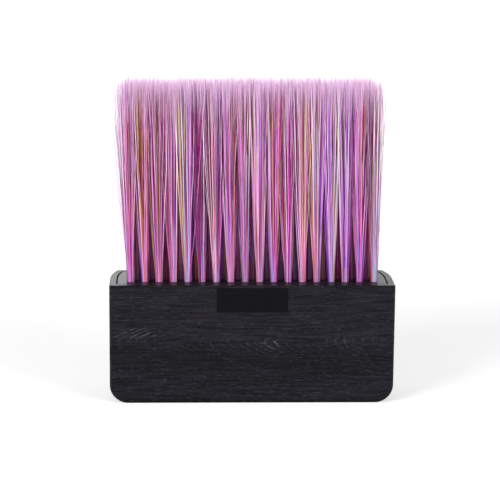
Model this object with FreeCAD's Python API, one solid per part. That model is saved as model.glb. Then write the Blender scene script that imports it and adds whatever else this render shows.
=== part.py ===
import FreeCAD, Part
import math
import os

# Neck duster brush, in millimetres: a wooden handle block with a tray routed
# in its top, a drilled tuft plate glued into the tray, and four staggered rows
# of soft bristle tufts, each folded over a flat metal anchor in its own hole.
# +Z is up, X runs along the block and the front face looks along -Y.
# The origin is the centre of the flat base that the brush stands on.

# Handle block
body_width = 130.0          # along X, at the front face
body_depth = 32.0           # along Y
body_height = 55.3          # along Z, base to rim
base_corner_radius = 8.5    # the two lower ends, rounded for the hand
end_straight = 16.0         # how far back each end runs square to the front
end_draw_in = 3.0           # how far each end has curved in at the back face
edge_round = 0.5            # all other outer edges
tray_wall = 3.0             # wood left round the tray

# Tuft plate
plate_thickness = 14.0      # also the depth of the tray it lies in
joint_gap = 0.55            # open line between the plate and the tray wall
plate_edge_round = 0.25     # upper edge of the plate

# Tuft holes
row_count = 4
front_row_tufts = 18        # every second row has one tuft fewer
end_margin = 5.75           # plate end to the centre of the first hole
row_margin = 5.15           # plate front and back to the nearest row
hole_clearance = 0.1        # between a tuft and its hole, sides and floor
hole_floor = 5.0            # wood left under a hole

# Tufts
bristle_height = 93.5       # plate surface to the longest tips
tuft_diameter = 3.2         # where a tuft leaves its hole
neck_height = 2.0           # tight bundle above the plate, before it fans out
neck_skin = 0.1             # bundle left outside the strands where they start
end_flare = 1.04            # outward lean of the tufts, as a ratio tip to root
depth_flare = 1.2           # the same towards the front and the back
strand_count = 7            # one in the middle and the rest in a ring
strand_root_radius = 0.42
strand_belly_radius = 0.75  # where a strand is thickest
strand_belly_at = 0.7       # height of that belly, as a share of the strand
strand_tip_radius = 0.25
strand_gap = 0.25           # least space between the strands of two tufts
strand_embed = 1.0          # length of a strand inside the neck
tip_unevenness = 2.0        # shortest strands end this far below the longest
ring_turn = 25.0            # degrees that each tuft's ring is turned from the last

# Anchors
anchor_bite = 0.6           # how far each end cuts into the wood
anchor_thickness = 0.4
anchor_height = 2.0
fold_height = 1.0           # bristle folded under the anchor
anchor_clearance = 0.08     # between the anchor and the fold it holds

# Label
label_width = 32.4
label_height = 11.3
label_thickness = 0.12
label_drop = 1.2            # below the rim

# Rows that have a node for each tuft; the rows behind them have one each
single_tuft_rows = 3

front_y = -body_depth / 2
back_y = body_depth / 2
tray_floor_z = body_height - plate_thickness
hole_bottom_z = tray_floor_z + hole_floor
hole_radius = tuft_diameter / 2 + hole_clearance
plate_inset = tray_wall + joint_gap


def end_x(y, inset):
    """Half width of the block at depth y, moved in by inset."""
    curve_start = front_y + end_straight
    run = body_depth - end_straight
    radius = (run ** 2 + end_draw_in ** 2) / (2 * end_draw_in)
    if y <= curve_start:
        return body_width / 2 - inset
    centre_x = body_width / 2 - radius
    return centre_x + math.sqrt((radius - inset) ** 2 - (y - curve_start) ** 2)


def plan_prism(inset, bottom, top):
    """Solid with the block's outline seen from above, moved in by inset."""
    front = front_y + inset
    back = back_y - inset
    bend = front_y + end_straight
    middle = (bend + back) / 2

    def at(side, y):
        return FreeCAD.Vector(side * end_x(y, inset), y, bottom)

    edges = [
        Part.LineSegment(at(-1, front), at(1, front)),
        Part.LineSegment(at(1, front), at(1, bend)),
        Part.Arc(at(1, bend), at(1, middle), at(1, back)),
        Part.LineSegment(at(1, back), at(-1, back)),
        Part.Arc(at(-1, back), at(-1, middle), at(-1, bend)),
        Part.LineSegment(at(-1, bend), at(-1, front)),
    ]
    wire = Part.Wire([edge.toShape() for edge in edges])
    return Part.Face(wire).extrude(FreeCAD.Vector(0, 0, top - bottom))


def handle_body():
    """Block with rounded lower ends, eased edges and the tray in its top."""
    block = plan_prism(0, 0, body_height)
    lower_ends = []
    for edge in block.Edges:
        box = edge.BoundBox
        if box.ZMax < 0.01 and box.XMin * box.XMax > 0:
            lower_ends.append(edge)
    block = block.makeFillet(base_corner_radius, lower_ends)
    outer = []
    for edge in block.Edges:
        box = edge.BoundBox
        on_front = box.YMax < front_y + 0.01
        on_back = box.YMin > back_y - 0.01
        on_rim = box.ZMin > body_height - 0.01
        if on_front or on_back or on_rim:
            outer.append(edge)
    block = block.makeFillet(edge_round, outer)
    tray = plan_prism(tray_wall, tray_floor_z, body_height + 1)
    return block.cut(tray)


def tuft_rows():
    """Root centres of the tufts, as one list of (x, y) for each row."""
    half_length = body_width / 2 - plate_inset - end_margin
    half_depth = body_depth / 2 - plate_inset - row_margin
    pitch = 2 * half_length / (front_row_tufts - 1)
    row_pitch = 2 * half_depth / (row_count - 1)
    rows = []
    for row in range(row_count):
        tufts = front_row_tufts - row % 2
        first_x = -pitch * (tufts - 1) / 2
        y = -half_depth + row * row_pitch
        rows.append([(first_x + i * pitch, y) for i in range(tufts)])
    return rows


def tuft_tip_radius():
    """Half the distance between neighbouring tufts at the tips."""
    rows = tuft_rows()
    x0, y0 = rows[0][0]
    x1 = rows[0][1][0]
    x2, y2 = rows[1][0]
    along = (x1 - x0) * end_flare
    across = math.hypot((x2 - x0) * end_flare, (y2 - y0) * depth_flare)
    return (min(along, across) - strand_gap) / 2


def anchor(x, y):
    """Flat metal strip that lies across a hole and bites into both sides."""
    length = 2 * (hole_radius + anchor_bite)
    corner = FreeCAD.Vector(
        x - length / 2,
        y - anchor_thickness / 2,
        hole_bottom_z + hole_clearance + fold_height,
    )
    return Part.makeBox(length, anchor_thickness, anchor_height, corner)


def tuft_plate(rows):
    """Plate with a blind hole and two anchor slots for each tuft."""
    plate = plan_prism(plate_inset, tray_floor_z, body_height)
    rim = [e for e in plate.Edges if e.BoundBox.ZMin > body_height - 0.01]
    plate = plate.makeFillet(plate_edge_round, rim)
    depth = body_height - hole_bottom_z + 1
    cutters = []
    for x, y in sum(rows, []):
        base = FreeCAD.Vector(x, y, hole_bottom_z)
        cutters.append(Part.makeCylinder(hole_radius, depth, base))
        cutters.append(anchor(x, y))
    return plate.cut(cutters)


def triangle(centre, radius, turn):
    """Closed three-sided wire, level, with its first corner at angle turn."""
    corners = []
    for i in range(4):
        angle = turn + i * 2 * math.pi / 3
        step = FreeCAD.Vector(math.cos(angle), math.sin(angle), 0)
        corners.append(centre + step * radius)
    return Part.makePolygon(corners)


def strand(root, tip, off_centre, turn):
    """One bristle between the tuft's axis points root and tip.

    It runs just inside the tuft's widening outline, or up the axis itself
    when off_centre is 0, and swells to a belly before its fine tip.
    """
    outward = FreeCAD.Vector(math.cos(turn), math.sin(turn), 0) * off_centre
    root_reach = tuft_diameter / 2 - neck_skin
    tip_reach = tuft_tip_radius()
    sections = []
    for share, radius in (
        (0.0, strand_root_radius),
        (strand_belly_at, strand_belly_radius),
        (1.0, strand_tip_radius),
    ):
        reach = root_reach + share * (tip_reach - root_reach)
        centre = root + (tip - root) * share + outward * (reach - radius)
        sections.append(triangle(centre, radius, turn))
    return Part.makeLoft(sections, True, True)


def tuft_strands(x, y, number):
    """The strands of the tuft rooted at x, y, fanning out to their tips."""
    root = FreeCAD.Vector(x, y, body_height + neck_height - strand_embed)
    top = FreeCAD.Vector(x * end_flare, y * depth_flare, body_height + bristle_height)
    first_turn = math.radians(number * ring_turn)
    strands = []
    for i in range(strand_count):
        shortfall = tip_unevenness * ((i + x) * 0.618 % 1.0)
        tip = top - FreeCAD.Vector(0, 0, shortfall)
        turn = first_turn + i * 2 * math.pi / (strand_count - 1)
        off_centre = 0 if i == strand_count - 1 else 1
        strands.append(strand(root, tip, off_centre, turn))
    return strands


def tuft(x, y, number):
    """Bundle folded under its anchor, fused with the strands it carries."""
    bottom = hole_bottom_z + hole_clearance
    height = body_height + neck_height - bottom
    bundle = Part.makeCylinder(
        tuft_diameter / 2, height, FreeCAD.Vector(x, y, bottom)
    )
    window = Part.makeBox(
        tuft_diameter + 1,
        anchor_thickness + 2 * anchor_clearance,
        anchor_height + 2 * anchor_clearance,
        FreeCAD.Vector(
            x - tuft_diameter / 2 - 0.5,
            y - anchor_thickness / 2 - anchor_clearance,
            bottom + fold_height - anchor_clearance,
        ),
    )
    return bundle.cut(window).fuse(tuft_strands(x, y, number))


def label_film():
    """Blank film label on the front face, under the rim."""
    corner = FreeCAD.Vector(
        -label_width / 2,
        front_y - label_thickness,
        body_height - label_drop - label_height,
    )
    return Part.makeBox(label_width, label_thickness, label_height, corner)


def save(name, shape):
    shape.exportStep(os.path.join("parts", name + ".step"))


def main():
    os.makedirs("parts", exist_ok=True)
    rows = tuft_rows()
    save("handle_body", handle_body())
    save("tuft_plate", tuft_plate(rows))
    save("label_film", label_film())
    save("tuft_anchors", Part.makeCompound([anchor(x, y) for x, y in sum(rows, [])]))
    for row, roots in enumerate(rows):
        tufts = [tuft(x, y, number) for number, (x, y) in enumerate(roots)]
        if row >= single_tuft_rows:
            save("tufts_row_%d" % (row + 1), Part.makeCompound(tufts))
            continue
        for number, solid in enumerate(tufts):
            save("tuft_%d_%02d" % (row + 1, number + 1), solid)


main()
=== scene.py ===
import math

import bpy
import numpy as np
from mathutils import Matrix, Vector


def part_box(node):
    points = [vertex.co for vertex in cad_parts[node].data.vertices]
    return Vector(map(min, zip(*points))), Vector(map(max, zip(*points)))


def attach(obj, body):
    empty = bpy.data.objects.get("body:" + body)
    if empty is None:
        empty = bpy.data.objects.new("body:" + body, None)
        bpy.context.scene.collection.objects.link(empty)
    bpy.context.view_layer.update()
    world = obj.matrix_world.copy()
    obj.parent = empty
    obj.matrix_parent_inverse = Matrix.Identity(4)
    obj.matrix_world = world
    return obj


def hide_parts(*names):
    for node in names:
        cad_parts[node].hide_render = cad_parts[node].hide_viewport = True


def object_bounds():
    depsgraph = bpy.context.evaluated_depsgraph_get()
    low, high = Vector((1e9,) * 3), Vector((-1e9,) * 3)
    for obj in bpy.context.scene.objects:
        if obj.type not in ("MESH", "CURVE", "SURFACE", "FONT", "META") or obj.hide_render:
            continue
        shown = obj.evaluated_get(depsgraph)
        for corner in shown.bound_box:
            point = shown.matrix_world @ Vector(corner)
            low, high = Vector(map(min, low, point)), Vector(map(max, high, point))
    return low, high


bl_info = {
    "name": "Neck Duster Brush",
    "version": (1, 0, 0),
    "blender": (4, 5, 0),
    "location": "View3D > Sidebar > Neck Duster",
    "description": "Dresses a neck duster brush: stained block, tuft plate and bristle tufts",
    "category": "Object",
}

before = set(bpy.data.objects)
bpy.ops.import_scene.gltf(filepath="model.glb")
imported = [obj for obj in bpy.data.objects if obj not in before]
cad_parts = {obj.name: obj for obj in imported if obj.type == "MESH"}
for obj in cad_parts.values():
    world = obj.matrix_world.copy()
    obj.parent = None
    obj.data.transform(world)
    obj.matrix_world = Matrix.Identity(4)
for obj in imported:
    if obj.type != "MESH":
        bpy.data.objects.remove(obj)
cad_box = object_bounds()

MM = 0.001
GOLDEN_ANGLE = math.pi * (3 - math.sqrt(5))


def linear(*shades):
    """Scene-linear values of a colour written in 0-255 display values."""
    made = []
    for shade in shades:
        share = shade / 255
        low = share <= 0.04045
        made.append(share / 12.92 if low else ((share + 0.055) / 1.055) ** 2.4)
    return tuple(made)


# ---------------------------------------------------------------- settings


def colour_property(name, description, default):
    return bpy.props.FloatVectorProperty(
        name=name, description=description, default=default, subtype="COLOR",
        size=3, min=0, max=1,
    )


def length_property(name, description, default):
    return bpy.props.FloatProperty(
        name=name, description=description, default=default, unit="LENGTH",
        min=0, precision=5,
    )


class WoodSettings(bpy.types.PropertyGroup):
    """Stain, grain and pores of the block and the plate"""

    dark: colour_property("Dark stain", "Stain in the dense late wood", linear(4, 4, 7))
    light: colour_property("Light stain", "Stain in the open early wood", linear(32, 30, 36))
    pore: colour_property("Pores", "Dusty pores in the early wood", linear(70, 68, 78))
    bare: colour_property("Bare wood", "Wood where the stain wore off", linear(126, 92, 84))
    end_draw: length_property("End draw-in", "How far the ends curve in at the back", 3 * MM)
    ring_gap: length_property("Ring gap", "Distance between growth rings", 1.3 * MM)
    pore_length: length_property("Pore length", "Length of a pore along the grain", 2.6 * MM)
    pore_width: length_property("Pore width", "Width of a pore", 0.26 * MM)


class LabelSettings(bpy.types.PropertyGroup):
    """Colour of the blank label"""

    film: colour_property("Film", "Colour of the blank label", linear(8, 7, 11))


class BristleSettings(bpy.types.PropertyGroup):
    """Number, size and spread of the bristles"""

    locks: bpy.props.IntProperty(
        name="Locks", description="Fine locks of bristles in a tuft", default=96, min=1
    )
    lock_size: bpy.props.IntProperty(
        name="Bristles in a lock", description="Bristles in each lock", default=4, min=1
    )
    hues: bpy.props.IntProperty(
        name="Hues", description="Main colours that share a tuft", default=9, min=1
    )
    thickness: length_property("Thickness", "Diameter of one bristle", 0.17 * MM)
    outer_foot: bpy.props.FloatProperty(
        name="Outer foot", description="Brightness at the foot of the outer rows", default=0.8,
        min=0, max=1,
    )
    inner_foot: bpy.props.FloatProperty(
        name="Inner foot", description="Brightness at the foot of the inner rows", default=0.46,
        min=0, max=1,
    )
    neck: length_property("Neck", "Height of the tight bundle over the plate", 1.5 * MM)
    planted: length_property("Planted", "Depth that bristles reach into a hole", 2 * MM)
    spread: length_property("Spread", "Reach of a tuft's tips along X", 3.45 * MM)
    depth_spread: length_property("Depth spread", "Reach of a tuft's tips along Y", 3.0 * MM)
    lean: length_property("Lean", "How far the tips lean towards -X", 1.6 * MM)
    ragged: length_property("Ragged tips", "How far the shortest bristles end below", 8 * MM)
    seed: bpy.props.IntProperty(name="Seed", description="Changes the tufts", default=7)


class StageSettings(bpy.types.PropertyGroup):
    """Camera and floor"""

    azimuth: bpy.props.FloatProperty(
        name="Azimuth", description="Camera's turn round the brush",
        default=math.radians(-2.2), subtype="ANGLE",
    )
    elevation: bpy.props.FloatProperty(
        name="Elevation", description="Camera's height above the horizon",
        default=math.radians(12.3), subtype="ANGLE",
    )
    roll: bpy.props.FloatProperty(
        name="Roll", description="Camera's tilt", default=math.radians(0.48),
        subtype="ANGLE",
    )
    distance: length_property("Distance", "Camera to the brush", 0.926)
    lens: bpy.props.FloatProperty(
        name="Lens", description="Focal length in millimetres", default=146.5, min=1
    )
    floor: colour_property("Floor", "Colour of the floor", (0.55, 0.55, 0.55))


# ------------------------------------------------------------ node helpers


def node(tree, kind, **settings):
    made = tree.nodes.new(kind)
    for key, value in settings.items():
        setattr(made, key, value)
    return made


def feed(tree, socket, value):
    """Links value to the socket, or sets it as the socket's own value."""
    if isinstance(value, bpy.types.NodeSocket):
        tree.links.new(value, socket)
    elif value is not None:
        socket.default_value = value


def calc(tree, operation, *values, clamp=False):
    made = node(tree, "ShaderNodeMath", operation=operation, use_clamp=clamp)
    for socket, value in zip(made.inputs, values):
        feed(tree, socket, value)
    return made.outputs[0]


def vector_calc(tree, operation, *values):
    made = node(tree, "ShaderNodeVectorMath", operation=operation)
    for socket, value in zip(made.inputs, values):
        feed(tree, socket, value)
    return made.outputs[0]


def split(tree, vector):
    """The X, Y and Z sockets of a vector."""
    made = node(tree, "ShaderNodeSeparateXYZ")
    feed(tree, made.inputs[0], vector)
    return made.outputs


def join(tree, *values):
    """Vector with these values as its X, Y and Z."""
    made = node(tree, "ShaderNodeCombineXYZ")
    for socket, value in zip(made.inputs, values):
        feed(tree, socket, value)
    return made.outputs[0]


def length_of(tree, vector):
    made = node(tree, "ShaderNodeVectorMath", operation="LENGTH")
    feed(tree, made.inputs[0], vector)
    return made.outputs["Value"]


def rescale(tree, value, low, high, to_low=0.0, to_high=1.0):
    """value from low..high to to_low..to_high, held at both ends."""
    made = node(tree, "ShaderNodeMapRange")
    for socket, given in zip(made.inputs, (value, low, high, to_low, to_high)):
        feed(tree, socket, given)
    return made.outputs[0]


def mix(tree, share, first, second, blend="MIX"):
    made = node(tree, "ShaderNodeMix", data_type="RGBA", blend_type=blend)
    feed(tree, made.inputs["Factor"], share)
    feed(tree, made.inputs[6], first)
    feed(tree, made.inputs[7], second)
    return made.outputs[2]


def noise(tree, vector, scale, detail=2.0, roughness=0.5):
    made = node(tree, "ShaderNodeTexNoise")
    feed(tree, made.inputs["Vector"], vector)
    feed(tree, made.inputs["Scale"], scale)
    feed(tree, made.inputs["Detail"], detail)
    feed(tree, made.inputs["Roughness"], roughness)
    return made.outputs[0]


def stretched_noise(tree, vector, scales, detail=2.0, roughness=0.5):
    """Noise with its own scale along each axis, per metre."""
    return noise(tree, vector_calc(tree, "MULTIPLY", vector, scales), 1.0, detail, roughness)


def off_level(tree, height, level):
    """How far the height is from a level, up or down."""
    return calc(tree, "ABSOLUTE", calc(tree, "SUBTRACT", height, level))


def new_group(name, inputs, outputs):
    """Empty shader group, with its input and output nodes."""
    group = bpy.data.node_groups.new(name, "ShaderNodeTree")
    for label, kind in inputs:
        group.interface.new_socket(name=label, in_out="INPUT", socket_type=kind)
    for label, kind in outputs:
        group.interface.new_socket(name=label, in_out="OUTPUT", socket_type=kind)
    return group, node(group, "NodeGroupInput"), node(group, "NodeGroupOutput")


def place_group(tree, group, **values):
    made = node(tree, "ShaderNodeGroup", node_tree=group)
    for label, value in values.items():
        feed(tree, made.inputs[label.replace("_", " ")], value)
    return made


def new_material(name):
    """Material with a Principled BSDF, which is returned with the tree."""
    material = bpy.data.materials.new(name)
    material.use_nodes = True
    tree = material.node_tree
    tree.nodes.clear()
    shader = node(tree, "ShaderNodeBsdfPrincipled")
    output = node(tree, "ShaderNodeOutputMaterial")
    tree.links.new(shader.outputs[0], output.inputs["Surface"])
    return material, tree, shader


def rgba(colour):
    return (*colour, 1.0)


def wear(piece, material):
    """Puts the material on every slot of the piece."""
    piece.data.materials.clear()
    piece.data.materials.append(material)


# -------------------------------------------------------------- wood finish

RING_POINTS_HEIGHT = 28.5 * MM
# centre and reach, in mm, of the flecks where the saw opened the grain
FLECKS = (
    ((8, -16, 26.5), (8, 8, 4.5)),
    ((-51, -16, 33), (10, 8, 2.6)),
)
PALE_BAND_HEIGHT = 34 * MM
DEEP_BAND_HEIGHT = 21 * MM
BLOCK_RELIEF = 0.06 * MM
PLATE_RELIEF = 0.04 * MM


def ring_marks(group, place, bent, waver, gap):
    """Growth rings, as nested arrowheads that point to -X along one height."""
    along, through, up = split(group, place)
    height = calc(group, "SUBTRACT", up, RING_POINTS_HEIGHT)
    spread = calc(group, "MULTIPLY", calc(group, "MULTIPLY", height, height), 95.0)
    taper = calc(group, "MULTIPLY_ADD", through, 0.3, calc(group, "MULTIPLY", along, 0.3))
    depth = calc(group, "ADD", calc(group, "SUBTRACT", spread, taper), waver)
    band = calc(group, "PINGPONG", calc(group, "DIVIDE", depth, gap), 0.5)
    # they show in patches, mostly near that height, and in the flecks
    patches = stretched_noise(group, place, (45, 160, 160))
    strength = rescale(group, patches, 0.42, 0.64, 0.05, 0.5)
    near = rescale(group, calc(group, "ABSOLUTE", height), 4 * MM, 8 * MM, 1.0, 0.1)
    strength = calc(group, "MULTIPLY", strength, near)
    for centre, reach in FLECKS:
        away = vector_calc(group, "SUBTRACT", place, tuple(MM * v for v in centre))
        away = vector_calc(group, "DIVIDE", away, tuple(MM * v for v in reach))
        fleck = rescale(group, length_of(group, away), 0.5, 1.2, 1.5, 0.0)
        strength = calc(group, "MAXIMUM", strength, fleck)
    # each ring is a row of short strokes
    strokes = stretched_noise(group, bent, (420, 900, 900))
    strength = calc(group, "MULTIPLY", strength, rescale(group, strokes, 0.4, 0.56))
    return calc(group, "MULTIPLY", rescale(group, band, 0.06, 0.17, 1.0, 0.0), strength)


def stain_tone(group, place):
    """How light the stain came out, with painted shadow along the lower edge: 1 is its own
    colour.
    """
    up = split(group, place)[2]
    # it took lightly above the middle and darkly below it
    pale = rescale(group, off_level(group, up, PALE_BAND_HEIGHT), 2 * MM, 12 * MM, 0.12, 0.0)
    deep = rescale(group, off_level(group, up, DEEP_BAND_HEIGHT), 3 * MM, 9 * MM, 0.42, 0.0)
    cloud = stretched_noise(group, place, (10, 60, 110))
    cloud = rescale(group, cloud, 0.3, 0.7, 0.86, 1.14)
    tone = calc(group, "SUBTRACT", calc(group, "ADD", cloud, pale), deep)
    # painted shadow: darker towards the lower edge, where the block stands on the floor
    foot = rescale(group, up, 0.6 * MM, 2.4 * MM, 0.05, 1.0)
    return calc(group, "MULTIPLY", tone, foot)


def worn_edges(group, place, edges):
    """Where handling wore the stain off the upright edges at both ends."""
    along, through, _ = split(group, place)
    spot = join(group, calc(group, "ABSOLUTE", along), through)
    gaps = [length_of(group, vector_calc(group, "SUBTRACT", spot, edge)) for edge in edges]
    worn = rescale(group, calc(group, "MINIMUM", *gaps), 0.35 * MM, 0.9 * MM, 1.0, 0.0)
    rubbed = stretched_noise(group, place, (100, 100, 420), 3.0)
    return calc(group, "MULTIPLY", worn, rescale(group, rubbed, 0.42, 0.6, 0.15, 1.0))


def wood_grain_group():
    """Growth rings, pores and stain clouds of a flat-sawn board that runs along X, with painted
    shadow along its lower edge.
    """
    number = "NodeSocketFloat"
    group, given, made = new_group(
        "stained wood grain",
        [
            ("Place", "NodeSocketVector"),
            ("Ring Gap", number),
            ("Pore Length", number),
            ("Pore Width", number),
            ("Front Edge", "NodeSocketVector"),
            ("Back Edge", "NodeSocketVector"),
        ],
        [(label, number) for label in ("Rings", "Streaks", "Pores", "Tone", "Worn")],
    )
    place, gap, pore_length, pore_width, *edges = given.outputs[:6]
    slow = stretched_noise(group, place, (22, 90, 90), 3.0, 0.6)
    waver = calc(group, "MULTIPLY", calc(group, "SUBTRACT", slow, 0.5), 4 * MM)
    # pores and streaks follow the grain, which wavers half as much as the rings
    along, through, up = split(group, place)
    bent = join(group, along, through, calc(group, "MULTIPLY_ADD", waver, 0.5, up))
    per_length = calc(group, "DIVIDE", 1.0, pore_length)
    per_width = calc(group, "DIVIDE", 1.0, pore_width)
    fine = stretched_noise(group, bent, join(group, per_length, per_width, per_width))
    masks = (
        ring_marks(group, place, bent, waver, gap),
        stretched_noise(group, bent, (60, 1300, 1300), 4.0, 0.65),
        rescale(group, fine, 0.60, 0.78),
        stain_tone(group, place),
        worn_edges(group, place, edges),
    )
    for socket, mask in zip(made.inputs, masks):
        feed(group, socket, mask)
    return group


def wood_material(name, group, settings, box, smoothest, relief):
    """Black-stained, satin-finished wood with a fine open grain."""
    material, tree, shader = new_material(name)
    place = node(tree, "ShaderNodeTexCoord").outputs["Object"]
    grain = place_group(
        tree, group, Place=place, Ring_Gap=settings.ring_gap,
        Pore_Length=settings.pore_length, Pore_Width=settings.pore_width,
        Front_Edge=(box[1].x, box[0].y, 0),
        Back_Edge=(box[1].x - settings.end_draw, box[1].y, 0),
    )
    rings, streaks, pores, tone, worn = grain.outputs
    open_grain = rescale(tree, streaks, 0.37, 0.63)
    stain = mix(tree, open_grain, rgba(settings.dark), rgba(settings.light))
    stain = mix(tree, calc(tree, "MULTIPLY", rings, 0.7, clamp=True), stain, rgba(settings.pore))
    # the tone holds the stain clouds and the painted shadow along the lower edge
    stain = mix(tree, 1.0, stain, join(tree, tone, tone, tone), "MULTIPLY")
    stain = mix(tree, calc(tree, "MULTIPLY", pores, 0.7), stain, rgba(settings.pore))
    stain = mix(tree, calc(tree, "MULTIPLY", worn, 0.22), stain, rgba(settings.bare))
    feed(tree, shader.inputs["Base Color"], stain)
    feed(tree, shader.inputs["Roughness"], calc(tree, "MULTIPLY_ADD", pores, 0.25, smoothest))
    shader.inputs["Specular IOR Level"].default_value = 0.125
    shader.inputs["Specular Tint"].default_value = (0.92, 0.88, 1.0, 1.0)
    bump = node(tree, "ShaderNodeBump")
    raised = calc(tree, "MULTIPLY", streaks, 0.8)
    feed(tree, bump.inputs["Height"], calc(tree, "SUBTRACT", raised, pores))
    bump.inputs["Distance"].default_value = relief
    bump.inputs["Strength"].default_value = 0.9
    feed(tree, shader.inputs["Normal"], bump.outputs[0])
    return material


class FinishWood(bpy.types.Operator):
    """Stains the handle block and the tuft plate"""

    bl_idname = "neck_duster.finish_wood"
    bl_label = "Finish the Wood"

    def execute(self, context):
        settings = context.scene.neck_duster_wood
        group = wood_grain_group()
        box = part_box("handle_body")
        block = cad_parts["handle_body"]
        stained = wood_material("black stained block", group, settings, box, 0.24, BLOCK_RELIEF)
        wear(block, stained)
        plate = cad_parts["tuft_plate"]
        stained = wood_material("black stained plate", group, settings, box, 0.22, PLATE_RELIEF)
        wear(plate, stained)
        return {"FINISHED"}


# ------------------------------------------------------- label and anchors


class FinishLabel(bpy.types.Operator):
    """Gives the blank label its smooth dark film"""

    bl_idname = "neck_duster.finish_label"
    bl_label = "Finish the Label"

    def execute(self, context):
        settings = context.scene.neck_duster_label
        material, tree, shader = new_material("dark label film")
        place = node(tree, "ShaderNodeTexCoord").outputs["Object"]
        ripple = noise(tree, place, 900.0, 2.0)
        worn = tuple(1.35 * shade for shade in settings.film)
        colour = mix(tree, rescale(tree, ripple, 0.35, 0.7), rgba(settings.film), rgba(worn))
        feed(tree, shader.inputs["Base Color"], colour)
        feed(tree, shader.inputs["Roughness"], rescale(tree, ripple, 0.3, 0.7, 0.3, 0.4))
        shader.inputs["Specular IOR Level"].default_value = 0.07
        wear(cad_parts["label_film"], material)
        return {"FINISHED"}


class FinishAnchors(bpy.types.Operator):
    """Gives the tuft anchors their drawn-wire steel"""

    bl_idname = "neck_duster.finish_anchors"
    bl_label = "Finish the Anchors"

    def execute(self, context):
        material, tree, shader = new_material("drawn anchor steel")
        place = node(tree, "ShaderNodeTexCoord").outputs["Object"]
        drawn = stretched_noise(tree, place, (300, 9000, 9000))
        dull, bright = linear(150, 150, 155), linear(190, 190, 195)
        feed(tree, shader.inputs["Base Color"], mix(tree, drawn, rgba(dull), rgba(bright)))
        feed(tree, shader.inputs["Roughness"], rescale(tree, drawn, 0.3, 0.7, 0.3, 0.45))
        shader.inputs["Metallic"].default_value = 1.0
        wear(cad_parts["tuft_anchors"], material)
        return {"FINISHED"}


# ---------------------------------------------------------------- bristles

# display colour of each kind of lock, and the share of the locks that it takes
BRISTLE_COLOURS = (
    (linear(252, 156, 230), 0.12),  # orchid
    (linear(255, 200, 238), 0.15),  # pale pink
    (linear(228, 182, 248), 0.13),  # lavender
    (linear(250, 132, 200), 0.08),  # magenta
    (linear(255, 166, 192), 0.13),  # rose
    (linear(255, 202, 214), 0.07),  # shell
    (linear(202, 136, 236), 0.09),  # violet
    (linear(250, 214, 172), 0.09),  # straw
    (linear(244, 178, 150), 0.05),  # salmon
    (linear(208, 204, 246), 0.05),  # blue grey
    (linear(160, 50, 122), 0.04),  # plum
)
# painted light: pale colour for the thin tips and the sparse end bristles, where light shines
# through them
TIP_LIGHT_PALE = linear(252, 222, 252)

# share of a bristle's length, and its radius there
BRISTLE_TAPER = (
    (0.06, 1.0), (0.2, 1.0), (0.38, 1.0), (0.58, 1.0), (0.76, 0.9), (0.88, 0.6), (0.95, 0.3),
)

# a bundle where it leaves its hole, a lock within it, and how unevenly they end
BUNDLE_RADIUS = 1.46 * MM
LOCK_RADIUS = 0.11 * MM
LOCK_SCATTER = (1.2 * MM, 0.9 * MM)
BRISTLE_SCATTER = 0.035 * MM
LOCK_SWAY = 0.5 * MM
BRISTLE_SWAY = 0.07 * MM
SAME_HUE_SHARE = 0.36
# the top of the longest bristles over the CAD tuft
TIP_RISE = 1.9 * MM
# a stray bristle leaves its lock
STRAY_SHARE = 0.05
STRAY_SCATTER = 1.1 * MM
# a loose bristle crosses its neighbours, and at the brush's ends it points outward
LOOSE_SHARE = 0.012
END_LOOSE_SHARE = 0.05
LOOSE_SCATTER = 3.0 * MM
LOOSE_OUTWARD = 2.5 * MM
LOOSE_SWAY_TIMES = 8
# neighbouring tufts mingle, so the end ones lean out less than their solids
LEAN_OUT_SHARE = 0.965


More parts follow.
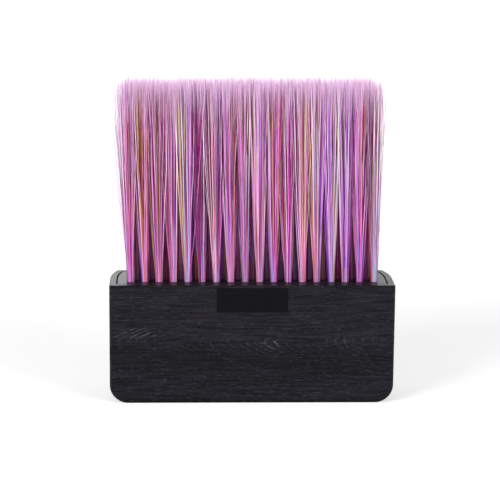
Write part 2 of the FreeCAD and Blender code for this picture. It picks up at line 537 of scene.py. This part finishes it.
def bristle_material():
    """Soft nylon whose colour follows the lock, with painted shade at the foot, and fades
    towards the tip in painted light.
    """
    material, tree, shader = new_material("soft nylon bristle")
    lock, own, along, foot = (
        node(tree, "ShaderNodeAttribute", attribute_name=label).outputs["Fac"]
        for label in ("lock", "shade", "along", "foot")
    )
    ramp = node(tree, "ShaderNodeValToRGB")
    ramp.color_ramp.interpolation = "CONSTANT"
    start = 0.0
    stops = ramp.color_ramp.elements
    for index, (colour, share) in enumerate(BRISTLE_COLOURS):
        stop = stops[index] if index < 2 else stops.new(start)
        stop.position = start
        stop.color = rgba(colour)
        start += share
    feed(tree, ramp.inputs[0], lock)
    vary = node(tree, "ShaderNodeHueSaturation")
    feed(tree, vary.inputs["Color"], ramp.outputs[0])
    # the bundle looks calmer at its foot, where the bristles stand tight
    calm = rescale(tree, along, 0.05, 0.42, 0.28, 1.0)
    # painted shade: the bristles at the foot of the inner rows, between the tufts, turn a
    # deeper, more saturated plum
    inner = rescale(tree, foot, 0.35, 0.8, 1.0, 0.0)
    inner = calc(tree, "MULTIPLY", inner, rescale(tree, along, 0.1, 0.5, 1.0, 0.0))
    # dark bristles are redder and deeper in colour, and all are more violet at the foot
    hue = calc(
        tree, "ADD", rescale(tree, own, 0, 1, 0.517, 0.491),
        rescale(tree, along, 0.05, 0.4, -0.046, 0.0),
    )
    feed(tree, vary.inputs["Hue"], calc(tree, "MULTIPLY_ADD", inner, 0.06, hue))
    vivid = rescale(tree, own, 0.0, 0.55, 0.76, 0.05)
    vivid = calc(tree, "MULTIPLY_ADD", vivid, calm, 1.0)
    feed(tree, vary.inputs["Saturation"], calc(tree, "MULTIPLY_ADD", inner, 0.35, vivid))
    bright = rescale(tree, own, 0.08, 0.70, -0.79, 0.43)
    bright = calc(tree, "MULTIPLY_ADD", bright, calm, 0.95)
    # painted shade: darker down between the tufts, where less light reaches, and painted light
    # makes the upper part the lightest
    lit = rescale(tree, along, 0.04, 0.44, foot, 1.0)
    lit = calc(tree, "MULTIPLY", lit, rescale(tree, along, 0.5, 0.85, 1.0, 1.24))
    feed(tree, vary.inputs["Value"], calc(tree, "MULTIPLY", bright, lit))
    # painted light: the thin tips turn pale where light shines through them, and so do the
    # sparse bristles at both ends
    pale = rescale(tree, along, 0.82, 1.0, 0.0, 1.5)
    pale = calc(tree, "MULTIPLY", pale, rescale(tree, own, 0.1, 0.7, 0.25, 1.0))
    place = node(tree, "ShaderNodeTexCoord").outputs["Object"]
    outer = calc(tree, "ABSOLUTE", split(tree, place)["X"])
    outer = rescale(tree, outer, 57 * MM, 63 * MM, 0.0, 0.35)
    pale = calc(tree, "MAXIMUM", pale, outer)
    colour = mix(tree, pale, vary.outputs[0], rgba(TIP_LIGHT_PALE))
    colour.node.clamp_result = True
    feed(tree, shader.inputs["Base Color"], colour)
    shader.inputs["Roughness"].default_value = 0.38
    shader.inputs["Specular IOR Level"].default_value = 0.2
    return material


def template_bristle():
    """One three-sided bristle, 1 high and 1 in radius, that ends in a point."""
    bpy.ops.object.select_all(action="DESELECT")
    bpy.ops.mesh.primitive_circle_add(vertices=3, radius=1, fill_type="NGON")
    bristle = bpy.context.object
    bpy.ops.object.mode_set(mode="EDIT")
    reached, width = 0.0, 1.0
    for height, radius in BRISTLE_TAPER:
        bpy.ops.mesh.extrude_region_move(
            TRANSFORM_OT_translate={"value": (0, 0, height - reached)}
        )
        bpy.ops.transform.resize(value=(radius / width, radius / width, 1))
        reached, width = height, radius
    bpy.ops.mesh.extrude_region_move(TRANSFORM_OT_translate={"value": (0, 0, 1 - reached)})
    bpy.ops.mesh.merge(type="CENTER")
    bpy.ops.mesh.select_all(action="SELECT")
    bpy.ops.mesh.normals_make_consistent(inside=False)
    bpy.ops.object.mode_set(mode="OBJECT")
    bpy.ops.object.transform_apply()
    return bristle


def tuft_axis(name):
    """Root and tip of a CAD tuft's middle line."""
    points = np.array([v.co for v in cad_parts[name].data.vertices])
    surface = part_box("tuft_plate")[1].z
    root = points[points[:, 2] < surface].mean(axis=0)
    tip = points[points[:, 2] > points[:, 2].max() - 2.5 * MM].mean(axis=0)
    root[2] = surface
    tip[0] *= LEAN_OUT_SHARE
    tip[2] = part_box(name)[1].z
    return root, tip


def tuft_axes():
    """Rows of (CAD node, root, tip). The fourth row shares one node."""
    rows = []
    for row in (1, 2, 3):
        names = sorted(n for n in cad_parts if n.startswith("tuft_%d_" % row))
        rows.append([(name, *tuft_axis(name)) for name in names])
    first, third = rows[0][0], rows[2][0]
    root_step = np.array((0, third[1][1] - first[1][1], 0))
    tip_step = np.array((0, third[2][1] - first[2][1], 0))
    rows.append(
        [("tufts_row_4", root + root_step, tip + tip_step) for _, root, tip in rows[1]]
    )
    return rows


def disc_point(random, count):
    """Random points in a disc of radius 1, as an array of count by 2."""
    angle = random.uniform(0, 2 * math.pi, count)
    reach = np.sqrt(random.uniform(0, 1, count))
    return np.stack([reach * np.cos(angle), reach * np.sin(angle)], axis=1)


def even_shares(random, count):
    """Numbers from 0 to 1 that are evenly spread but in random order."""
    return random.permutation((np.arange(count) + random.uniform(0, 1, count)) / count)


def squared(seat):
    """Moves points of a disc of radius 1 outward to fill the square around it."""
    x, y = seat[:, 0], seat[:, 1]
    square = []
    for span, way in ((2 + x * x - y * y, x), (2 - x * x + y * y, y)):
        ahead = np.sqrt(np.maximum(span + math.sqrt(8) * way, 0))
        behind = np.sqrt(np.maximum(span - math.sqrt(8) * way, 0))
        square.append((ahead - behind) / 2)
    return np.stack(square, axis=1)


def lock_seats(random, settings):
    """Where each lock of a tuft sits in a disc of radius 1, and its colour from 0 to 1."""
    order = np.arange(settings.locks)
    reach = np.sqrt((order + 0.5) / settings.locks)
    turn = order * GOLDEN_ANGLE + random.uniform(0, 2 * math.pi)
    seat = np.stack([reach * np.cos(turn), reach * np.sin(turn)], axis=1)
    centre = disc_point(random, settings.hues)
    hue = even_shares(random, settings.hues)
    nearest = np.linalg.norm(seat[:, None] - centre[None, :], axis=2).argmin(axis=1)
    odd = random.uniform(0, 1, settings.locks)
    own_hue = even_shares(random, settings.locks)
    return seat, np.where(odd < SAME_HUE_SHARE, hue[nearest], own_hue)


def sway(random, lock, heights, strongest, slowest, fastest):
    """Sideways waves of each lock or bristle, as bristle by level by xy."""
    shape = (lock.max() + 1, 2)
    phase = random.uniform(0, 2 * math.pi, shape)[lock][:, None, :]
    rate = random.uniform(slowest, fastest, shape)[lock][:, None, :] * 2 * math.pi
    size = random.uniform(0.3, 1.0, shape)[lock][:, None, :] * strongest
    return size * np.sin(rate * heights[:, :, None] + phase)


def thin_out(across, side):
    """Moves tips from -1..1 so that they grow sparse towards the brush's end."""
    share = np.clip((across * side + 1) / 2, 0, 1)
    return side * (2.7 * (1 - np.sqrt(1 - share)) - 1)


def bristle_ends(random, settings, seat, lock, own, loose, side):
    """Where bristles end, from the tuft's tip, and how far out their locks end, from -1 to 1."""
    locks, count = settings.locks, len(lock)
    lock_end = squared(seat)
    if side:
        lock_end[:, 0] = thin_out(lock_end[:, 0], side)
    lock_end *= (settings.spread, settings.depth_spread)
    lock_end += random.normal(0, 1, (locks, 2)) * LOCK_SCATTER
    end = lock_end[lock] + own + random.normal(0, BRISTLE_SCATTER, (count, 2))
    stray = random.uniform(0, 1, count) < STRAY_SHARE
    end[stray] += random.normal(0, STRAY_SCATTER, (stray.sum(), 2))
    end[loose] += random.normal(0, LOOSE_SCATTER, (loose.sum(), 2))
    end[loose, 0] += side * LOOSE_OUTWARD
    end[:, 0] -= settings.lean
    return end, side * lock_end[lock, 0] / settings.spread


def bristle_heights(random, settings, root, tip, levels, lock, outward, side):
    """Heights of each bristle's levels, from inside its hole to its ragged tip."""
    short = 0.7 * random.uniform(0, 1, settings.locks)[lock]
    short += 0.3 * random.uniform(0, 1, len(lock))
    if side:
        # the sparse outer bristles all reach the top
        short *= np.clip(1.1 - 0.5 * outward, 0.15, 1)
    top = tip[2] + TIP_RISE - settings.ragged * short
    bottom = root[2] - settings.planted
    return bottom + levels[None, :] * (top - bottom)[:, None]


def bristle_paths(random, settings, seat, root, tip, levels, loose, side):
    """Middle lines of a tuft's bristles, as bristle by level by xyz."""
    lock = np.repeat(np.arange(settings.locks), settings.lock_size)
    count = len(lock)
    own = disc_point(random, count) * LOCK_RADIUS
    start = seat[lock] * BUNDLE_RADIUS + own
    end, outward = bristle_ends(random, settings, seat, lock, own, loose, side)
    height = bristle_heights(random, settings, root, tip, levels, lock, outward, side)

    length = tip[2] - root[2]
    share = np.clip((height - root[2] - settings.neck) / (length - settings.neck), 0, 1)
    share = share[:, :, None]
    # all bristles lean to -X, so the tufts at that end open later and it stays straight
    fan = share ** (1.15 if side < 0 else 0.8)
    waves = sway(random, lock, height / length, LOCK_SWAY, 0.6, 1.8)
    own_waves = sway(random, np.arange(count), height / length, BRISTLE_SWAY, 0.8, 2.2)
    waves += own_waves * np.where(loose, LOOSE_SWAY_TIMES, 1)[:, None, None]
    paths = np.empty((count, len(levels), 3))
    paths[:, :, :2] = root[None, None, :2] + start[:, None, :] * (1 - fan)
    paths[:, :, :2] += share * (tip - root)[None, None, :2] + fan * end[:, None, :]
    paths[:, :, :2] += waves * share ** 0.8
    paths[:, :, 2] = height
    return paths


def grow_tuft(name, template, material, settings, root, tip, number, foot, side):
    """Copies the template bristle along every path of one tuft, as one mesh."""
    random = np.random.default_rng((settings.seed, number))
    corners = np.array([v.co for v in template.data.vertices])
    levels, level_of = np.unique(corners[:, 2].round(5), return_inverse=True)
    seat, tint = lock_seats(random, settings)
    count = settings.locks * settings.lock_size
    loose = random.uniform(0, 1, count) < (END_LOOSE_SHARE if side else LOOSE_SHARE)
    paths = bristle_paths(random, settings, seat, root, tip, levels, loose, side)
    width = settings.thickness / 2 * random.uniform(0.8, 1.2, count)
    turn = random.uniform(0, 2 * math.pi, count)
    cosine, sine = np.cos(turn)[:, None], np.sin(turn)[:, None]
    points = paths[:, level_of, :].copy()
    points[:, :, 0] += width[:, None] * (corners[:, 0] * cosine - corners[:, 1] * sine)
    points[:, :, 1] += width[:, None] * (corners[:, 0] * sine + corners[:, 1] * cosine)

    first = (np.arange(count) * len(corners))[:, None]
    faces = []
    for face in template.data.polygons:
        faces += (first + np.array(face.vertices)[None, :]).tolist()
    mesh = bpy.data.meshes.new(name)
    mesh.from_pydata(points.reshape(-1, 3).tolist(), [], faces)
    swing = 0.5 - 0.5 * np.cos(math.pi * random.uniform(0, 1, settings.locks))
    shade = 0.85 * swing.repeat(settings.lock_size) + 0.15 * random.uniform(0, 1, count)
    # loose bristles are pale
    shade[loose] = 1.0
    # the middle of the tight bundle catches more light than its sides
    round_foot = foot * (1.5 - 0.9 * abs(seat[:, 0]))
    for label, values in (
        ("lock", np.repeat(tint.repeat(settings.lock_size), len(corners))),
        ("shade", np.repeat(shade, len(corners))),
        ("along", np.tile(corners[:, 2], count)),
        ("foot", np.repeat(round_foot.repeat(settings.lock_size), len(corners))),
    ):
        layer = mesh.attributes.new(label, "FLOAT", "POINT")
        layer.data.foreach_set("value", values.astype(np.float32))
    add_bake_map(mesh, corners, count)
    piece = bpy.data.objects.new(name, mesh)
    bpy.context.scene.collection.objects.link(piece)
    wear(piece, material)
    return piece


def add_bake_map(mesh, corners, count):
    """Gives each bristle a narrow column of the map to itself, its root at the bottom."""
    layer = mesh.uv_layers.new(name="OFBake")
    picked = np.empty(len(mesh.loops), np.int32)
    mesh.loops.foreach_get("vertex_index", picked)
    bristle, corner = picked // len(corners), picked % len(corners)
    angle = np.arctan2(corners[:, 1], corners[:, 0])
    across = 0.5 + 0.35 * np.sin(angle + 0.4)
    across[np.hypot(corners[:, 0], corners[:, 1]) < 1e-4] = 0.5
    along = 0.01 + 0.98 * corners[corner, 2]
    spots = np.stack([(bristle + across[corner]) / count, along], axis=1)
    layer.data.foreach_set("uv", spots.astype(np.float32).ravel())


class PlantTufts(bpy.types.Operator):
    """Grows every tuft of bristles in its hole"""

    bl_idname = "neck_duster.plant_tufts"
    bl_label = "Plant the Tufts"

    def execute(self, context):
        settings = context.scene.neck_duster_bristles
        template = template_bristle()
        material = bristle_material()
        number = 0
        for row, tufts in enumerate(tuft_axes(), start=1):
            # painted shade: the inner rows get a darker foot than the outer rows
            foot = settings.outer_foot if row in (1, 4) else settings.inner_foot
            for place, (node_name, root, tip) in enumerate(tufts, start=1):
                name = "bristles_%d_%02d" % (row, place)
                side = 0
                if row in (1, 3) and place in (1, len(tufts)):
                    side = -1 if place == 1 else 1
                piece = grow_tuft(
                    name, template, material, settings, root, tip, number, foot, side
                )
                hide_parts(node_name)
                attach(piece, "root")
                number += 1
        bpy.data.objects.remove(template)
        return {"FINISHED"}


# ------------------------------------------------------------------- stage

AIM = Vector((-1.1, -8.7, 70.2)) * MM
# name, place from the brush's middle, diameter and watts
LAMPS = (
    ("key light", (-0.9, -0.9, 0.8), 0.7, 17.0),
    ("fill light", (0.9, -0.8, 0.6), 0.7, 11.0),
    ("back light", (-0.1, 1.3, 0.75), 0.9, 4.0),
)
SURROUNDINGS_LIGHT = 0.36


def add_lamp(name, location, target, size, power):
    data = bpy.data.lights.new(name, "AREA")
    data.shape = "DISK"
    data.size = size
    data.energy = power
    lamp = bpy.data.objects.new(name, data)
    lamp.location = location
    lamp.rotation_euler = (target - location).to_track_quat("-Z", "Y").to_euler()
    bpy.context.scene.collection.objects.link(lamp)


def backdrop_share(tree):
    """1 for the rays that should see the white studio, 0 for those that light the brush."""
    light = node(tree, "ShaderNodeLightPath")
    mirrored = calc(
        tree, "MAXIMUM", light.outputs["Is Glossy Ray"], light.outputs["Is Transmission Ray"]
    )
    return calc(tree, "MAXIMUM", light.outputs["Is Camera Ray"], mirrored)


def floor_material(colour):
    material, tree, shader = new_material("pale studio floor")
    place = node(tree, "ShaderNodeTexCoord").outputs["Object"]
    cloud = noise(tree, place, 3.0)
    darker = tuple(0.97 * shade for shade in colour)
    feed(tree, shader.inputs["Base Color"], mix(tree, cloud, rgba(darker), rgba(colour)))
    shader.inputs["Roughness"].default_value = 0.9
    shader.inputs["Specular IOR Level"].default_value = 0.1
    shader.inputs["Emission Color"].default_value = (1, 1, 1, 1)
    # the floor glows into the white backdrop away from the brush and its shadow; painted shade:
    # the glow is weaker near the brush, so the floor round it is darker
    glow = rescale(tree, length_of(tree, place), 0.2, 1.4, 0.5, 1.0)
    glow = calc(tree, "MULTIPLY", backdrop_share(tree), glow)
    feed(tree, shader.inputs["Emission Strength"], glow)
    return material


class SetStage(bpy.types.Operator):
    """Adds the floor, the soft lights, the white surroundings and the camera"""

    bl_idname = "neck_duster.set_stage"
    bl_label = "Set the Stage"

    def execute(self, context):
        scene = context.scene
        settings = scene.neck_duster_stage
        bpy.ops.object.select_all(action="DESELECT")
        bpy.ops.mesh.primitive_plane_add(size=8, location=(0, 0, cad_box[0].z))
        floor = bpy.context.object
        floor.name = "floor"
        bpy.ops.object.transform_apply()
        wear(floor, floor_material(settings.floor))

        world = bpy.data.worlds.new("white studio")
        scene.world = world
        world.use_nodes = True
        tree = world.node_tree
        tree.nodes.clear()
        background = node(tree, "ShaderNodeBackground")
        background.inputs["Color"].default_value = (1, 1, 1, 1)
        strength = rescale(tree, backdrop_share(tree), 0, 1, SURROUNDINGS_LIGHT, 1.0)
        feed(tree, background.inputs["Strength"], strength)
        output = node(tree, "ShaderNodeOutputWorld")
        tree.links.new(background.outputs[0], output.inputs["Surface"])

        middle = (cad_box[0] + cad_box[1]) / 2
        for name, place, size, power in LAMPS:
            add_lamp(name, middle + Vector(place), middle, size, power)

        data = bpy.data.cameras.new("camera")
        data.lens = settings.lens
        data.clip_start = 0.05
        camera = bpy.data.objects.new("camera", data)
        scene.collection.objects.link(camera)
        level = math.cos(settings.elevation)
        back = Vector((
            math.sin(settings.azimuth) * level,
            -math.cos(settings.azimuth) * level,
            math.sin(settings.elevation),
        ))
        turn = (-back).to_track_quat("-Z", "Y").to_matrix().to_4x4()
        roll = Matrix.Rotation(settings.roll, 4, "Z")
        camera.matrix_world = Matrix.Translation(AIM + back * settings.distance) @ turn @ roll
        scene.camera = camera
        scene.view_settings.view_transform = "Standard"
        return {"FINISHED"}


# ------------------------------------------------------------------- panel

OPERATORS = (FinishWood, FinishLabel, FinishAnchors, PlantTufts, SetStage)
SETTINGS = {
    "neck_duster_wood": WoodSettings,
    "neck_duster_label": LabelSettings,
    "neck_duster_bristles": BristleSettings,
    "neck_duster_stage": StageSettings,
}


class NeckDusterPanel(bpy.types.Panel):
    """Lists the steps that make the brush, with their settings"""

    bl_idname = "VIEW3D_PT_neck_duster"
    bl_label = "Neck Duster Brush"
    bl_space_type = "VIEW_3D"
    bl_region_type = "UI"
    bl_category = "Neck Duster"

    def draw(self, context):
        for operator in OPERATORS:
            self.layout.operator(operator.bl_idname)
        for name in SETTINGS:
            box = self.layout.box()
            group = getattr(context.scene, name)
            for label in group.__annotations__:
                box.prop(group, label)


CLASSES = (*SETTINGS.values(), *OPERATORS, NeckDusterPanel)


def register():
    for cls in CLASSES:
        bpy.utils.register_class(cls)
    for name, cls in SETTINGS.items():
        setattr(bpy.types.Scene, name, bpy.props.PointerProperty(type=cls))


def unregister():
    for name in SETTINGS:
        delattr(bpy.types.Scene, name)
    for cls in reversed(CLASSES):
        bpy.utils.unregister_class(cls)


def main():
    register()
    bpy.ops.neck_duster.finish_wood()
    bpy.ops.neck_duster.finish_label()
    bpy.ops.neck_duster.finish_anchors()
    bpy.ops.neck_duster.plant_tufts()
    bpy.ops.neck_duster.set_stage()


if __name__ == "__main__":
    main()
